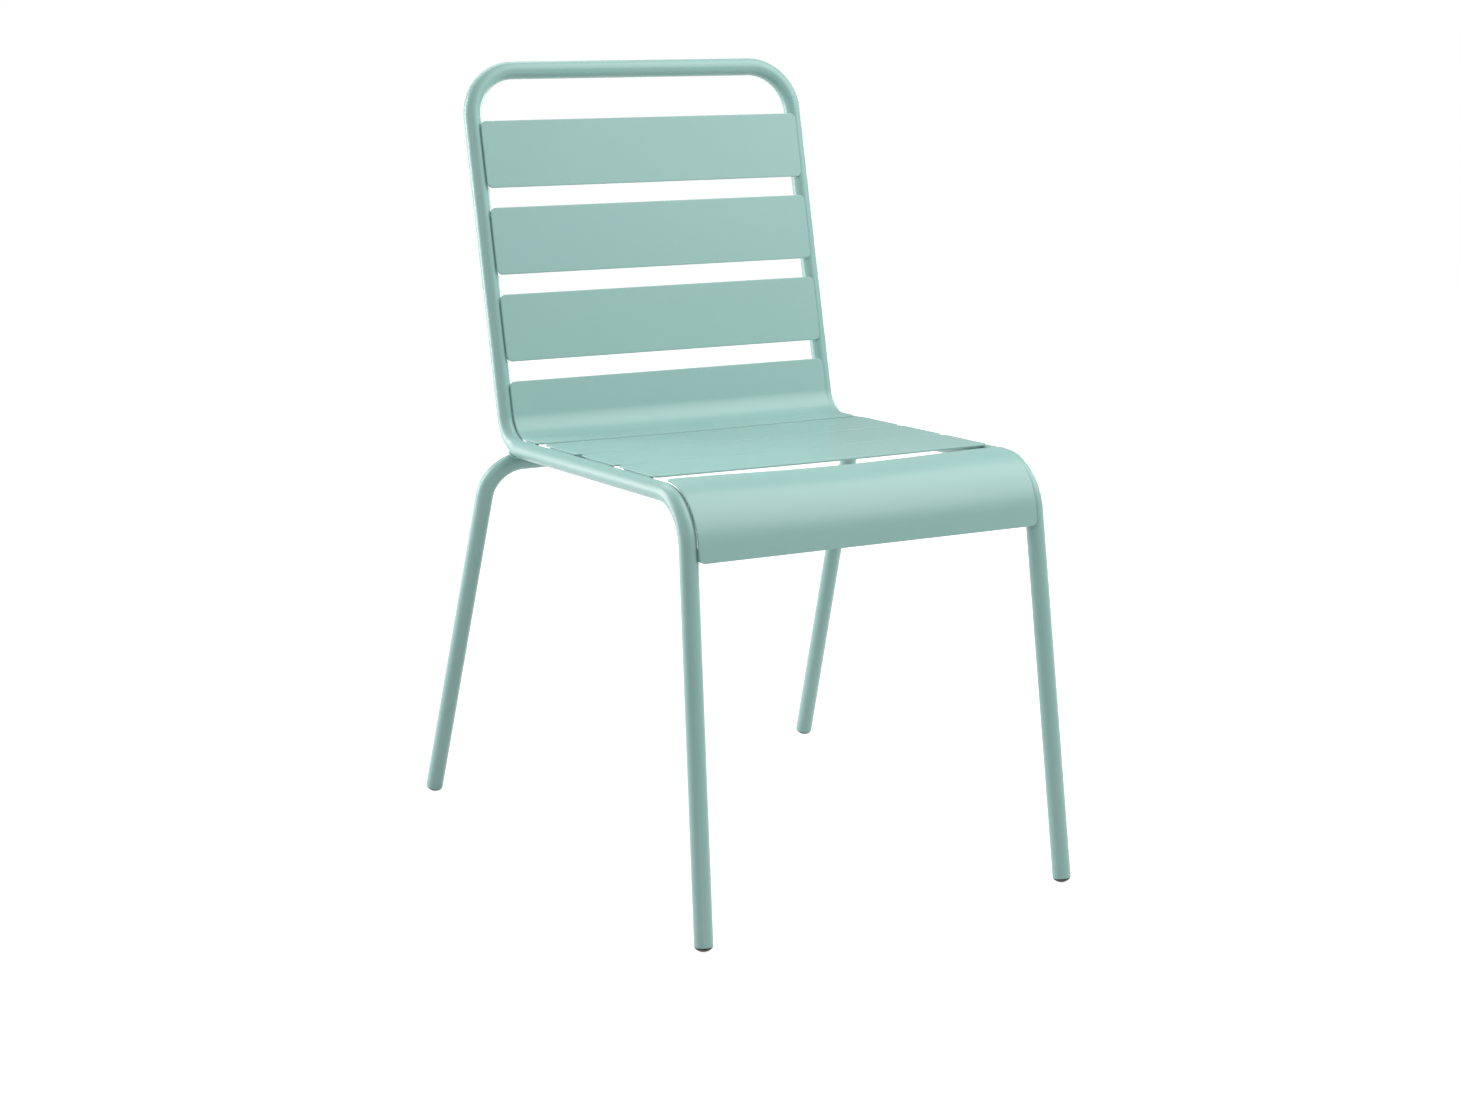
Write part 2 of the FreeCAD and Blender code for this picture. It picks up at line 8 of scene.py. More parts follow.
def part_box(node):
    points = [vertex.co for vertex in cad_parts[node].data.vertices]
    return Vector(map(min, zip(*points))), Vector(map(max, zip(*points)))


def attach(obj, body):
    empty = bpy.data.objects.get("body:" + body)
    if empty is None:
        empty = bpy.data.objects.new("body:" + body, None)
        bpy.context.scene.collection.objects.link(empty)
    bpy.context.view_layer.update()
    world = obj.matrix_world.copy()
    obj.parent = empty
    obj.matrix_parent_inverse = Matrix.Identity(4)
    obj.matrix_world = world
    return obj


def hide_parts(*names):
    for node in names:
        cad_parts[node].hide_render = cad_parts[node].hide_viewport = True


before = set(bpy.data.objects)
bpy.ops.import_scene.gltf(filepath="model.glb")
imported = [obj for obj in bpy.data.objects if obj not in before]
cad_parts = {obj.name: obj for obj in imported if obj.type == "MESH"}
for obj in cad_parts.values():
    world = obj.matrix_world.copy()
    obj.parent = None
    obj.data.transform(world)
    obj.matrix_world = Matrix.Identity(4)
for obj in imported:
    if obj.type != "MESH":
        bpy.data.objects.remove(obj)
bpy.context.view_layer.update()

# Stacking chair of bent steel tube and welded sheet slats, in one sage green powder coat.
# Metres.  The chair faces -Y, +X is the sitter's left, +Z is up, and the floor is at Z 0.


# ---------------------------------------------------------------- camera
# A long lens a little above the seat, off the chair's right front corner and level but for
# a slight roll.  It aims at a point low in the chair, so that the whole chair is in view.
camera_data = bpy.data.cameras.new("camera")
camera = bpy.data.objects.new("camera", camera_data)
bpy.context.scene.collection.objects.link(camera)
bpy.context.scene.camera = camera
camera_azimuth = math.radians(-29.65)
camera_elevation = math.radians(13.05)
camera_roll = math.radians(0.85)
camera_distance = 3.09
camera_aim = Vector((0.011, 0.068, 0.3185))
camera_back = Vector((
    math.sin(camera_azimuth) * math.cos(camera_elevation),
    -math.cos(camera_azimuth) * math.cos(camera_elevation),
    math.sin(camera_elevation)))
camera_data.sensor_width = 36.0
camera_data.lens = 66.75
camera.location = camera_aim + camera_back * camera_distance
camera.rotation_mode = "QUATERNION"
camera.rotation_quaternion = (
    camera_back.to_track_quat("Z", "Y") @ Quaternion((0, 0, 1), camera_roll))


# ---------------------------------------------------------------- main frame tube
# One length of round steel tube, cut square at the feet and bent six times: front leg, seat
# rail and upright on each side, joined by the top bar.  Everything else is welded to it.
tube_radius = 0.010
tube_wall = 0.0015
tube_round_steps = 48
tube_bend_steps = 32
cut_edge = 0.0003

rail_half = 0.210
front_foot_half = 0.223
front_foot = Vector((0, -0.302, 0))
knee = Vector((0, -0.231, 0.453))
hip = Vector((0, 0.187, 0.433))
main_low, main_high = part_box("main_frame_tube")
crown = Vector((0, main_high.y - tube_radius, main_high.z - tube_radius))
knee_bend = 0.055
hip_bend = 0.042
crown_bend = 0.055

ACROSS = Vector((1, 0, 0))
leg_up = (knee - front_foot).normalized()
rail_back = (hip - knee).normalized()
upright_up = (crown - hip).normalized()
leg_normal = ACROSS.cross(leg_up)
rail_normal = ACROSS.cross(rail_back)
upright_normal = ACROSS.cross(upright_up)


class Term:
    """A value in a node tree.  Each sum, product or named sum of Terms adds a Math node."""

    def __init__(self, tree, socket):
        self.tree = tree
        self.socket = socket

    def math(self, operation, *others):
        return Term(self.tree, add_node(
            self.tree, "ShaderNodeMath", dict(enumerate((self, *others))),
            operation=operation).outputs[0])

    def __add__(self, other):
        return self.math("ADD", other)

    def __sub__(self, other):
        return self.math("SUBTRACT", other)

    def __mul__(self, other):
        return self.math("MULTIPLY", other)

    def __truediv__(self, other):
        return self.math("DIVIDE", other)

    def __abs__(self):
        return self.math("ABSOLUTE")

    def clamped(self):
        return add_term(self.tree, "ShaderNodeClamp", {"Value": self})


def add_node(tree, kind, inputs=None, **settings):
    """Adds a node.  Inputs, by name or number, are values, sockets or Terms."""
    node = tree.nodes.new(kind)
    for name, value in settings.items():
        setattr(node, name, value)
    for key, value in (inputs or {}).items():
        if isinstance(value, Term):
            value = value.socket
        if isinstance(value, bpy.types.NodeSocket):
            tree.links.new(value, node.inputs[key])
        else:
            node.inputs[key].default_value = value
    return node


def add_term(tree, kind, inputs=None, output=0, **settings):
    return Term(tree, add_node(tree, kind, inputs, **settings).outputs[output])


def new_tree(name, kind, inputs, outputs):
    """A node tree with named inputs (name, type, value) and outputs (name, type)."""
    tree = bpy.data.node_groups.new(name, kind)
    for label, socket_type, *value in inputs:
        socket = tree.interface.new_socket(
            label, in_out="INPUT", socket_type="NodeSocket" + socket_type)
        if value:
            socket.default_value = value[0]
    for label, socket_type in outputs:
        tree.interface.new_socket(
            label, in_out="OUTPUT", socket_type="NodeSocket" + socket_type)
    given = tree.nodes.new("NodeGroupInput").outputs
    result = tree.nodes.new("NodeGroupOutput").inputs
    return tree, given, result


def finish_tree(tree, geometry, given, result):
    """Every shape tree ends in Realize Instances and Set Material."""
    smooth = add_node(tree, "GeometryNodeSetShadeSmooth", {"Geometry": geometry})
    realized = add_node(tree, "GeometryNodeRealizeInstances", {"Geometry": smooth.outputs[0]})
    coated = add_node(tree, "GeometryNodeSetMaterial", {
        "Geometry": realized.outputs[0], "Material": given["Coat"]})
    tree.links.new(coated.outputs[0], result[0])


def bent_line(name, corners, bends):
    """Loose edges through the corners, whose points keep their bend radius as 'bend'."""
    mesh = bpy.data.meshes.new(name)
    mesh.from_pydata(corners, [(k, k + 1) for k in range(len(corners) - 1)], [])
    mesh.attributes.new("bend", "FLOAT", "POINT").data.foreach_set("value", bends)
    return mesh


def baked(name, mesh, tree, **values):
    """Runs a shape tree on the mesh, with its inputs given by name, and keeps the result."""
    blank = bpy.data.objects.new(name + "_blank", mesh)
    bpy.context.scene.collection.objects.link(blank)
    modifier = blank.modifiers.new("shape", "NODES")
    modifier.node_group = tree
    for item in tree.interface.items_tree:
        key = item.name.lower().replace(" ", "_")
        if item.in_out == "INPUT" and key in values:
            modifier[item.identifier] = values[key]
    evaluated = blank.evaluated_get(bpy.context.evaluated_depsgraph_get())
    shaped = bpy.data.meshes.new_from_object(evaluated)
    shaped.name = name
    blank.modifiers.remove(modifier)
    bpy.data.objects.remove(blank)
    piece = bpy.data.objects.new(name, shaped)
    bpy.context.scene.collection.objects.link(piece)
    return piece


def installed(piece, node):
    """Hands a finished piece over: it rides on the chair and stands for its CAD node."""
    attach(piece, "root")
    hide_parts(node)


tube_tree, given, result = new_tree("bent_tube", "GeometryNodeTree", (
    ("Axis", "Geometry"), ("Radius", "Float", tube_radius),
    ("Round Steps", "Int", tube_round_steps), ("Bend Steps", "Int", tube_bend_steps),
    ("Coat", "Material")), (("Tube", "Geometry"),))
axis = add_node(tube_tree, "GeometryNodeMeshToCurve", {"Mesh": given["Axis"]})
bend = add_node(tube_tree, "GeometryNodeInputNamedAttribute", {"Name": "bend"})
rounded = add_node(tube_tree, "GeometryNodeFilletCurve", {
    "Curve": axis.outputs[0], "Radius": bend.outputs[0], "Count": given["Bend Steps"]},
    mode="POLY")
section = add_node(tube_tree, "GeometryNodeCurvePrimitiveCircle", {
    "Resolution": given["Round Steps"], "Radius": given["Radius"]})
skin = add_node(tube_tree, "GeometryNodeCurveToMesh", {
    "Curve": rounded.outputs[0], "Profile Curve": section.outputs[0]})
finish_tree(tube_tree, skin.outputs[0], given, result)


def other_side(point):
    return Vector((-point.x, point.y, point.z))


def tube_end(floor_point, corner, lowest):
    """The end of a leg's axis, where the square cut tube reaches down to lowest."""
    along = (corner - floor_point).normalized()
    height = lowest + tube_radius * math.sqrt(1 - along.z ** 2)
    return floor_point + along * (height / along.z)


def bent_tube(name, half_points, half_bends, coat):
    """A tube with its bore open at both ends and its cut edges broken."""
    bends = [0.0, *half_bends, *reversed(half_bends), 0.0]
    points = half_points + [other_side(point) for point in reversed(half_points)]
    tube = baked(name, bent_line(name, points, bends), tube_tree, coat=coat)
    wall = tube.modifiers.new("wall", "SOLIDIFY")
    wall.thickness = tube_wall
    wall.offset = -1.0
    cut = tube.modifiers.new("broken_edge", "BEVEL")
    cut.width = cut_edge
    cut.segments = 3
    cut.limit_method = "ANGLE"
    cut.angle_limit = math.radians(60)
    return tube


# The coat is a polyester powder, sprayed on and baked: satin, with the fine orange peel of
# powder that has flowed and a very slight mottle.  Its sharp edges are coloured paler: this is
# partly thinner coat pulling off the edge and partly a painted highlight along the edges.
peel_scale = 620.0
peel_depth = 0.00002
mottle_scale = 9.0
swell_scale = 140.0
swell_share = 0.6
edge_patch_scale = 70.0
dust_height = 0.16
dust_scale = 55.0
coat_deep = (0.254, 0.442, 0.410)
coat_pale = (0.282, 0.477, 0.444)
# Paler colour for sharp edges: a painted highlight together with thinner coat.
thin_coat_and_highlight_colour = (0.450, 0.660, 0.620)
dust_grey = (0.480, 0.560, 0.530)
edge_wear = 0.35
dust_cover = 0.18
coat_roughness = 0.36
mottle_dulls = 0.08
dust_dulls = 0.15

peel_group, given, result = new_tree("powder_coat_grain", "ShaderNodeTree", (
    ("Peel Scale", "Float", peel_scale), ("Mottle Scale", "Float", mottle_scale)), (
    ("Height", "Float"), ("Mottle", "Float")))
place = add_node(peel_group, "ShaderNodeTexCoord").outputs["Object"]
peel = add_term(peel_group, "ShaderNodeTexNoise", {
    "Vector": place, "Scale": given["Peel Scale"], "Detail": 2.0, "Roughness": 0.45})
swell = add_term(peel_group, "ShaderNodeTexNoise", {
    "Vector": place, "Scale": swell_scale, "Detail": 1.0})
peel_group.links.new((peel + swell * swell_share).socket, result["Height"])
mottle = add_term(peel_group, "ShaderNodeTexNoise", {
    "Vector": place, "Scale": given["Mottle Scale"], "Detail": 5.0, "Roughness": 0.6})
peel_group.links.new(mottle.socket, result["Mottle"])

# A patchy mask of sharp edges, from pointiness, which drives a painted edge highlight that also
# stands for thinner coat.
edge_group, given, result = new_tree("edge_wear", "ShaderNodeTree", (
    ("Sharpness", "Float", 0.56), ("Softness", "Float", 0.10)), (("Edge", "Float"),))
curving = add_term(edge_group, "ShaderNodeNewGeometry", output="Pointiness")
patchy = add_term(edge_group, "ShaderNodeTexNoise", {
    "Vector": add_node(edge_group, "ShaderNodeTexCoord").outputs["Object"],
    "Scale": edge_patch_scale, "Detail": 3.0})
edge = (curving - Term(edge_group, given["Sharpness"])) / Term(edge_group, given["Softness"])
edge_group.links.new((edge.clamped() * (patchy * 0.8 + 0.6)).clamped().socket, result["Edge"])

dust_group, given, result = new_tree("floor_dust", "ShaderNodeTree", (
    ("Height", "Float", dust_height),), (("Dust", "Float"),))
spot = add_node(dust_group, "ShaderNodeTexCoord").outputs["Object"]
level = add_term(dust_group, "ShaderNodeSeparateXYZ", {"Vector": spot}, output="Z")
specks = add_term(dust_group, "ShaderNodeTexNoise", {
    "Vector": spot, "Scale": dust_scale, "Detail": 6.0, "Roughness": 0.7})
low = (Term(dust_group, given["Height"]) - level) / Term(dust_group, given["Height"])
dust_group.links.new((low.clamped() * specks).clamped().socket, result["Dust"])


def group_in(tree, group, **values):
    node = add_node(tree, "ShaderNodeGroup", node_tree=group)
    for name, value in values.items():
        node.inputs[name.replace("_", " ").title()].default_value = value
    return {socket.name: Term(tree, socket) for socket in node.outputs}


def blended(tree, amount, base, over):
    """A colour mixed from two by an amount."""
    mix = add_node(tree, "ShaderNodeMix", {"Factor": amount}, data_type="RGBA")
    for key, colour in (("A", base), ("B", over)):
        socket = next(s for s in mix.inputs if s.name == key and s.type == "RGBA")
        if isinstance(colour, bpy.types.NodeSocket):
            tree.links.new(colour, socket)
        else:
            socket.default_value = (*colour, 1.0)
    return next(s for s in mix.outputs if s.type == "RGBA")


def powder_coat(name, roughness=coat_roughness):
    """The chair's one colour, on tube, slat or weld."""
    material = bpy.data.materials.new(name)
    material.use_nodes = True
    tree = material.node_tree
    shader = tree.nodes["Principled BSDF"]
    grain = group_in(tree, peel_group)
    edge_highlight_and_thin_coat = group_in(tree, edge_group)
    dust = group_in(tree, dust_group)
    body = blended(tree, grain["Mottle"], coat_deep, coat_pale)
    # Sharp edges mixed paler: a painted highlight together with thinner coat on the edges.
    body = blended(tree, edge_highlight_and_thin_coat["Edge"] * edge_wear, body, thin_coat_and_highlight_colour)
    body = blended(tree, dust["Dust"] * dust_cover, body, dust_grey)
    tree.links.new(body, shader.inputs["Base Color"])
    uneven = grain["Mottle"] * mottle_dulls + dust["Dust"] * dust_dulls
    dull = uneven + (roughness - mottle_dulls / 2)
    tree.links.new(dull.socket, shader.inputs["Roughness"])
    bump = add_node(tree, "ShaderNodeBump", {
        "Height": grain["Height"], "Distance": peel_depth, "Strength": 1.0})
    tree.links.new(bump.outputs[0], shader.inputs["Normal"])
    return material


tube_coat = powder_coat("tube_powder_coat")
knee_corner = Vector((-rail_half, knee.y, knee.z))
front_end = tube_end(Vector((-front_foot_half, front_foot.y, 0)), knee_corner, main_low.z)
main_tube = bent_tube(
    "main_tube", [front_end, knee_corner, Vector((-rail_half, hip.y, hip.z)),
                  Vector((-rail_half, crown.y, crown.z))],
    [knee_bend, hip_bend, crown_bend], tube_coat)
installed(main_tube, "main_frame_tube")


# ---------------------------------------------------------------- rear leg tube
# A second length of the same tube, bent twice into an inverted U: both rear legs and the
# cross run between them, which passes under the bends of the rails and is welded there.
rear_foot = Vector((-0.257, 0.303, 0))
shoulder_half = 0.240
cross_setback = 0.174
shoulder_bend = 0.042
rear_low, rear_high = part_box("rear_leg_tube")
shoulder = Vector((-shoulder_half, cross_setback, rear_high.z - tube_radius))
rear_end = tube_end(rear_foot, shoulder, rear_low.z)
rear_tube = bent_tube("rear_leg_bow", [rear_end, shoulder], [shoulder_bend], tube_coat)
installed(rear_tube, "rear_leg_tube")


# ---------------------------------------------------------------- slats
# Eight strips of 2 mm sheet steel with rounded corners, laid across the tubes: three flat
# ones in the back, three in the seat, and two bent round the back and front of the seat.
sheet_thickness = 0.002
sheet_half = 0.206
slat_corner = 0.007
slat_edge = 0.0006
sheet_gap = 0.0002
sheet_offset = tube_radius + sheet_gap
seat_sag = 0.0008
slat_columns = 81
slat_rows = 41
slat_bend_steps = 64
edge_steps = 3
corner_steps = 6
border_steps = 1 + edge_steps + corner_steps


def sizes_given(tree, given):
    """The numbers that a tree is given, as Terms, by name."""
    return {s.name: Term(tree, s) for s in given if s.type in ("VALUE", "INT")}


slat_tree, given, result = new_tree("formed_slat", "GeometryNodeTree", (
    ("Track", "Geometry"), ("Length", "Float", 2 * sheet_half),
    ("Thickness", "Float", sheet_thickness), ("Corner", "Float", slat_corner),
    ("Edge", "Float", slat_edge), ("Sag At Start", "Float", 0.0), ("Sag At End", "Float", 0.0),
    ("Columns", "Int", slat_columns), ("Rows", "Int", slat_rows), ("Coat", "Material")),
    (("Slat", "Geometry"),))
size_of = sizes_given(slat_tree, given)
line = add_node(slat_tree, "GeometryNodeMeshToCurve", {"Mesh": given["Track"]})
bend = add_node(slat_tree, "GeometryNodeInputNamedAttribute", {"Name": "bend"})
track = add_node(slat_tree, "GeometryNodeFilletCurve", {
    "Curve": line.outputs[0], "Radius": bend.outputs[0], "Count": slat_bend_steps}, mode="POLY")
width = add_term(slat_tree, "GeometryNodeCurveLength", {"Curve": track.outputs[0]})

# The grid's lines are counted from its border inwards: a thickness step, then the rounded
# edge, then the corner, then the open middle.
half_columns = (size_of["Columns"] - 1.0) / 2.0
half_rows = (size_of["Rows"] - 1.0) / 2.0
grid = add_node(slat_tree, "GeometryNodeMeshGrid", {
    "Size X": half_columns * 2.0, "Size Y": half_rows * 2.0,
    "Vertices X": given["Columns"], "Vertices Y": given["Rows"]})
cell = add_node(slat_tree, "ShaderNodeSeparateXYZ", {
    "Vector": add_node(slat_tree, "GeometryNodeInputPosition").outputs[0]})
column = Term(slat_tree, cell.outputs["X"])
row = Term(slat_tree, cell.outputs["Y"])
steps_in_x = half_columns - abs(column)
steps_in_y = half_rows - abs(row)


def edge_turn(steps_in):
    return ((steps_in - 1.0) / edge_steps).clamped() * (math.pi / 2)


def from_centre(steps_in, half_count, half_size):
    """Distance of a grid line from the middle of the slat."""
    round_part = size_of["Edge"] * edge_turn(steps_in).math("COSINE")
    corner_part = ((steps_in - (1.0 + edge_steps)) / corner_steps).clamped() * -1.0 + 1.0
    middle_part = ((steps_in - border_steps) / (half_count - border_steps)).clamped() * -1.0 + 1.0
    return (round_part + corner_part * (size_of["Corner"] - size_of["Edge"])
            + middle_part * (half_size - size_of["Corner"]))


half_length = size_of["Length"] / 2.0
half_width = width / 2.0
out_x = from_centre(steps_in_x, half_columns, half_length)
out_y = from_centre(steps_in_y, half_rows, half_width)
corner_x = (out_x - half_length + size_of["Corner"]).math("MAXIMUM", 0.0)
corner_y = (out_y - half_width + size_of["Corner"]).math("MAXIMUM", 0.0)
reach = corner_x.math("MAXIMUM", corner_y)
diagonal = (corner_x * corner_x + corner_y * corner_y).math("SQRT").math("MAXIMUM", 1e-9)
pull = reach / diagonal
along_x = (out_x - corner_x + corner_x * pull) * column.math("SIGN")
along_y = (out_y - corner_y + corner_y * pull) * row.math("SIGN") + half_width
steps_in = steps_in_x.math("MINIMUM", steps_in_y)
rise = (steps_in.clamped() * (size_of["Thickness"] / 2.0 - size_of["Edge"])
        + size_of["Edge"] * edge_turn(steps_in).math("SINE"))

# A wide thin slat dips a little between the tubes, most where its edge is free.
share = (along_y / width).clamped()
ease = share * share * (share * -2.0 + 3.0)
across_share = along_x / half_length
held = across_share * across_share * -1.0 + 1.0
sag = (size_of["Sag At Start"] + ease * (size_of["Sag At End"] - size_of["Sag At Start"]))
middle_height = size_of["Thickness"] / 2.0 - sag * held * held

spot = add_node(slat_tree, "GeometryNodeSampleCurve", {
    "Curves": track.outputs[0], "Length": along_y}, mode="LENGTH")
outward = add_node(slat_tree, "ShaderNodeVectorMath", {
    0: tuple(ACROSS), 1: spot.outputs["Tangent"]}, operation="CROSS_PRODUCT").outputs[0]
beside = add_node(slat_tree, "ShaderNodeCombineXYZ", {"X": along_x}).outputs[0]
on_track = add_node(slat_tree, "ShaderNodeVectorMath", {
    0: spot.outputs["Position"], 1: beside}, operation="ADD").outputs[0]
faces = []
for face in (1.0, -1.0):
    height = middle_height + rise * face
    offset = add_node(slat_tree, "ShaderNodeVectorMath", {
        0: outward, "Scale": height}, operation="SCALE").outputs[0]
    place = add_node(slat_tree, "ShaderNodeVectorMath", {
        0: on_track, 1: offset}, operation="ADD").outputs[0]
    placed = add_node(slat_tree, "GeometryNodeSetPosition", {
        "Geometry": grid.outputs[0], "Position": place})
    faces.append(placed.outputs[0])
under = add_node(slat_tree, "GeometryNodeFlipFaces", {"Mesh": faces[1]})
both = add_node(slat_tree, "GeometryNodeJoinGeometry")
slat_tree.links.new(faces[0], both.inputs[0])
slat_tree.links.new(under.outputs[0], both.inputs[0])
closed = add_node(slat_tree, "GeometryNodeMergeByDistance", {
    "Geometry": both.outputs[0], "Distance": 1e-6})
finish_tree(slat_tree, closed.outputs[0], given, result)

slat_coat = powder_coat("slat_powder_coat")


def slat(node, corners, bends, **values):
    track_line = bent_line(node, corners, bends)
    piece = baked(node + "_sheet", track_line, slat_tree, coat=slat_coat, **values)
    installed(piece, node)


back_slats = ("back_slat_upper", "back_slat_middle", "back_slat_lower")
seat_slats = ("seat_slat_front", "seat_slat_middle", "seat_slat_rear")
slat_lines = {}
for node in back_slats:
    low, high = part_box(node)
    foot = Vector((0, low.y - sheet_thickness * upright_normal.y, low.z))
    run = (high.z - low.z - sheet_thickness * upright_normal.z) / upright_up.z
    slat_lines[node] = (foot, foot + upright_up * run)
    slat(node, slat_lines[node], [0, 0])
for node in seat_slats:
    low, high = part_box(node)
    foot = Vector((0, low.y, high.z - sheet_thickness * rail_normal.z))
    run = (high.y - low.y - sheet_thickness * rail_normal.y) / rail_back.y
    slat_lines[node] = (foot, foot + rail_back * run)
    slat(node, slat_lines[node], [0, 0], sag_at_start=seat_sag, sag_at_end=seat_sag)


# ---------------------------------------------------------------- bent sheets
# The lumbar sheet runs back along the rails and turns up into the back.  The front edge
# sheet hangs down over the knees of the tubes, and its free rear edge dips in the middle.
lumbar_rows = 121
front_rows = 141
front_sag = 0.0032


def on_sheet_plane(corner, normal, next_normal):
    """Where the planes that the sheet lies on meet, beside a corner of the tubes' axis."""
    return corner + (normal + next_normal) * (sheet_offset / (1 + normal.dot(next_normal)))


def along_to(corner, direction, **target):
    """The point on a line through the corner that has the given Y or Z."""
    (axis_name, value), = target.items()
    gone = (value - getattr(corner, axis_name)) / getattr(direction, axis_name)
    return corner + direction * gone


hip_fold = on_sheet_plane(hip, rail_normal, upright_normal)
low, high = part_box("lumbar_sheet")
lumbar_front = along_to(hip_fold, rail_back, y=low.y)
lumbar_top = along_to(hip_fold, upright_up, z=high.z - sheet_thickness * upright_normal.z)
lumbar_bend = hip_bend - sheet_offset
slat("lumbar_sheet", [lumbar_front, hip_fold, lumbar_top], [0, lumbar_bend, 0],
     rows=lumbar_rows, sag_at_start=seat_sag)

knee_fold = on_sheet_plane(knee, leg_normal, rail_normal)
front_bend = knee_bend + sheet_offset
low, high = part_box("front_edge_sheet")
lip = along_to(knee_fold, leg_up, z=low.z)
front_rear_edge = along_to(
    knee_fold, rail_back, y=high.y - sheet_thickness * rail_normal.y)
slat("front_edge_sheet", [lip, knee_fold, front_rear_edge],
     [0, front_bend, 0], rows=front_rows, sag_at_end=front_sag)


# ---------------------------------------------------------------- slat welds
# Short wire fed beads under both ends of every slat, in the groove between the sheet and
# the tube.  Each has the overlapping ripples of a torch moved by hand, under the coat.
bead_radius = 0.0026
bead_inset = 0.0066
bead_depth = 0.0015
bead_margin = 0.012
short_margin = 0.006
lip_margin = 0.00165
bead_round_steps = 16
bead_end_taper = 0.96
ripple_pitch = 0.0021
ripple_steps = 5.0
ripple_depth = 0.22
ripple_unevenness = 0.35

bead_tree, given, result = new_tree("rippled_bead", "GeometryNodeTree", (
    ("Lines", "Geometry"), ("Radius", "Float", bead_radius),
    ("Ripple Pitch", "Float", ripple_pitch), ("Ripple Depth", "Float", ripple_depth),
    ("Unevenness", "Float", ripple_unevenness), ("Coat", "Material")),
    (("Beads", "Geometry"),))
size_of = sizes_given(bead_tree, given)
line = add_node(bead_tree, "GeometryNodeMeshToCurve", {"Mesh": given["Lines"]})
fine = add_node(bead_tree, "GeometryNodeResampleCurve", {
    "Curve": line.outputs[0], "Length": size_of["Ripple Pitch"] / ripple_steps}, mode="LENGTH")
gone = add_term(bead_tree, "GeometryNodeSplineParameter", output="Length")
whole = add_term(bead_tree, "GeometryNodeSplineLength")
ripple = (gone / size_of["Ripple Pitch"]).math("FRACT")
scale = ripple * ripple * size_of["Ripple Depth"] * -1.0 + 1.0
uneven = add_term(bead_tree, "ShaderNodeTexNoise", {
    "Vector": add_node(bead_tree, "GeometryNodeInputPosition").outputs[0],
    "Scale": 160.0, "Detail": 2.0})
scale = scale * ((uneven - 0.5) * size_of["Unevenness"] + 1.0)
to_end = gone.math("MINIMUM", whole - gone) / size_of["Radius"]
end_fall = to_end.clamped() * -1.0 + 1.0
scale = scale * (end_fall * end_fall * -bead_end_taper + 1.0).math("SQRT")
section = add_node(bead_tree, "GeometryNodeCurvePrimitiveCircle", {
    "Resolution": bead_round_steps, "Radius": given["Radius"]})
bead = add_node(bead_tree, "GeometryNodeCurveToMesh", {
    "Curve": fine.outputs[0], "Profile Curve": section.outputs[0], "Scale": scale,
    "Fill Caps": True})
finish_tree(bead_tree, bead.outputs[0], given, result)

weld_coat = powder_coat("weld_powder_coat", roughness=0.40)


def bead_lines(name, lines):
    """A loose edge for every bead, from its start to its end, on both sides of the chair."""
    points = [point + ACROSS * (hand * (rail_half - bead_inset))
              for hand in (-1, 1) for line in lines for point in line]
    mesh = bpy.data.meshes.new(name)
    mesh.from_pydata(points, [(k, k + 1) for k in range(0, len(points), 2)], [])
    return mesh


def under_slat(start, end, normal, start_margin=bead_margin, end_margin=bead_margin):
    """The ends of a bead below the slat, short of the slat's edges by its margins."""
    along = (end - start).normalized()
    sunk = normal * -bead_depth
    return start + along * start_margin + sunk, end - along * end_margin + sunk


def bend_start(corner, direction, bend, turn):
    """Where a sheet stops being straight, on its way along the direction to a corner."""
    return corner - direction * (bend * math.tan(turn / 2))


def welds(node, lines):
    piece = baked(node + "_beads", bead_lines(node, lines), bead_tree, coat=weld_coat)
    installed(piece, node)


welds("back_slat_welds", [under_slat(*slat_lines[n], upright_normal) for n in back_slats])
welds("seat_slat_welds", [under_slat(*slat_lines[n], rail_normal) for n in seat_slats])
hip_turn = rail_back.angle(upright_up)
knee_turn = leg_up.angle(rail_back)
lumbar_seat_end = bend_start(hip_fold, rail_back, lumbar_bend, hip_turn)
lumbar_back_start = bend_start(hip_fold, -upright_up, lumbar_bend, hip_turn)
lip_end = bend_start(knee_fold, leg_up, front_bend, knee_turn)
welds("lumbar_sheet_welds", [
    under_slat(lumbar_front, lumbar_seat_end, rail_normal, end_margin=0),
    under_slat(lumbar_back_start, lumbar_top, upright_normal, short_margin, short_margin)])
welds("front_edge_sheet_welds", [
    under_slat(lip, lip_end, leg_normal, lip_margin, lip_margin)])


# ---------------------------------------------------------------- rear leg welds
# A bead laid all the way round the spot where each rail comes down to the rear legs' cross
# run.  It fills the narrowing gap between the two round tubes.
saddle_ring = 0.0058
saddle_bead = 0.0021
saddle_steps = 96
saddle_ripples = 17.0
saddle_ripple_depth = 0.14
saddle_unevenness = 0.5

saddle_tree, given, result = new_tree("saddle_bead", "GeometryNodeTree", (
    ("Spots", "Geometry"), ("Tube Radius", "Float", tube_radius),
    ("Ring", "Float", saddle_ring), ("Bead", "Float", saddle_bead),
    ("Lean", "Float", 0.0), ("Coat", "Material")), (("Beads", "Geometry"),))
size_of = sizes_given(saddle_tree, given)
ring = add_node(saddle_tree, "GeometryNodeCurvePrimitiveCircle", {
    "Resolution": saddle_steps, "Radius": given["Ring"]})
flat = add_node(saddle_tree, "ShaderNodeSeparateXYZ", {
    "Vector": add_node(saddle_tree, "GeometryNodeInputPosition").outputs[0]})
u, v = (Term(saddle_tree, flat.outputs[k]) for k in "XY")
square = size_of["Tube Radius"] * size_of["Tube Radius"]
saddle_height = ((square - v * v).math("SQRT") - (square - u * u).math("SQRT")) / 2.0
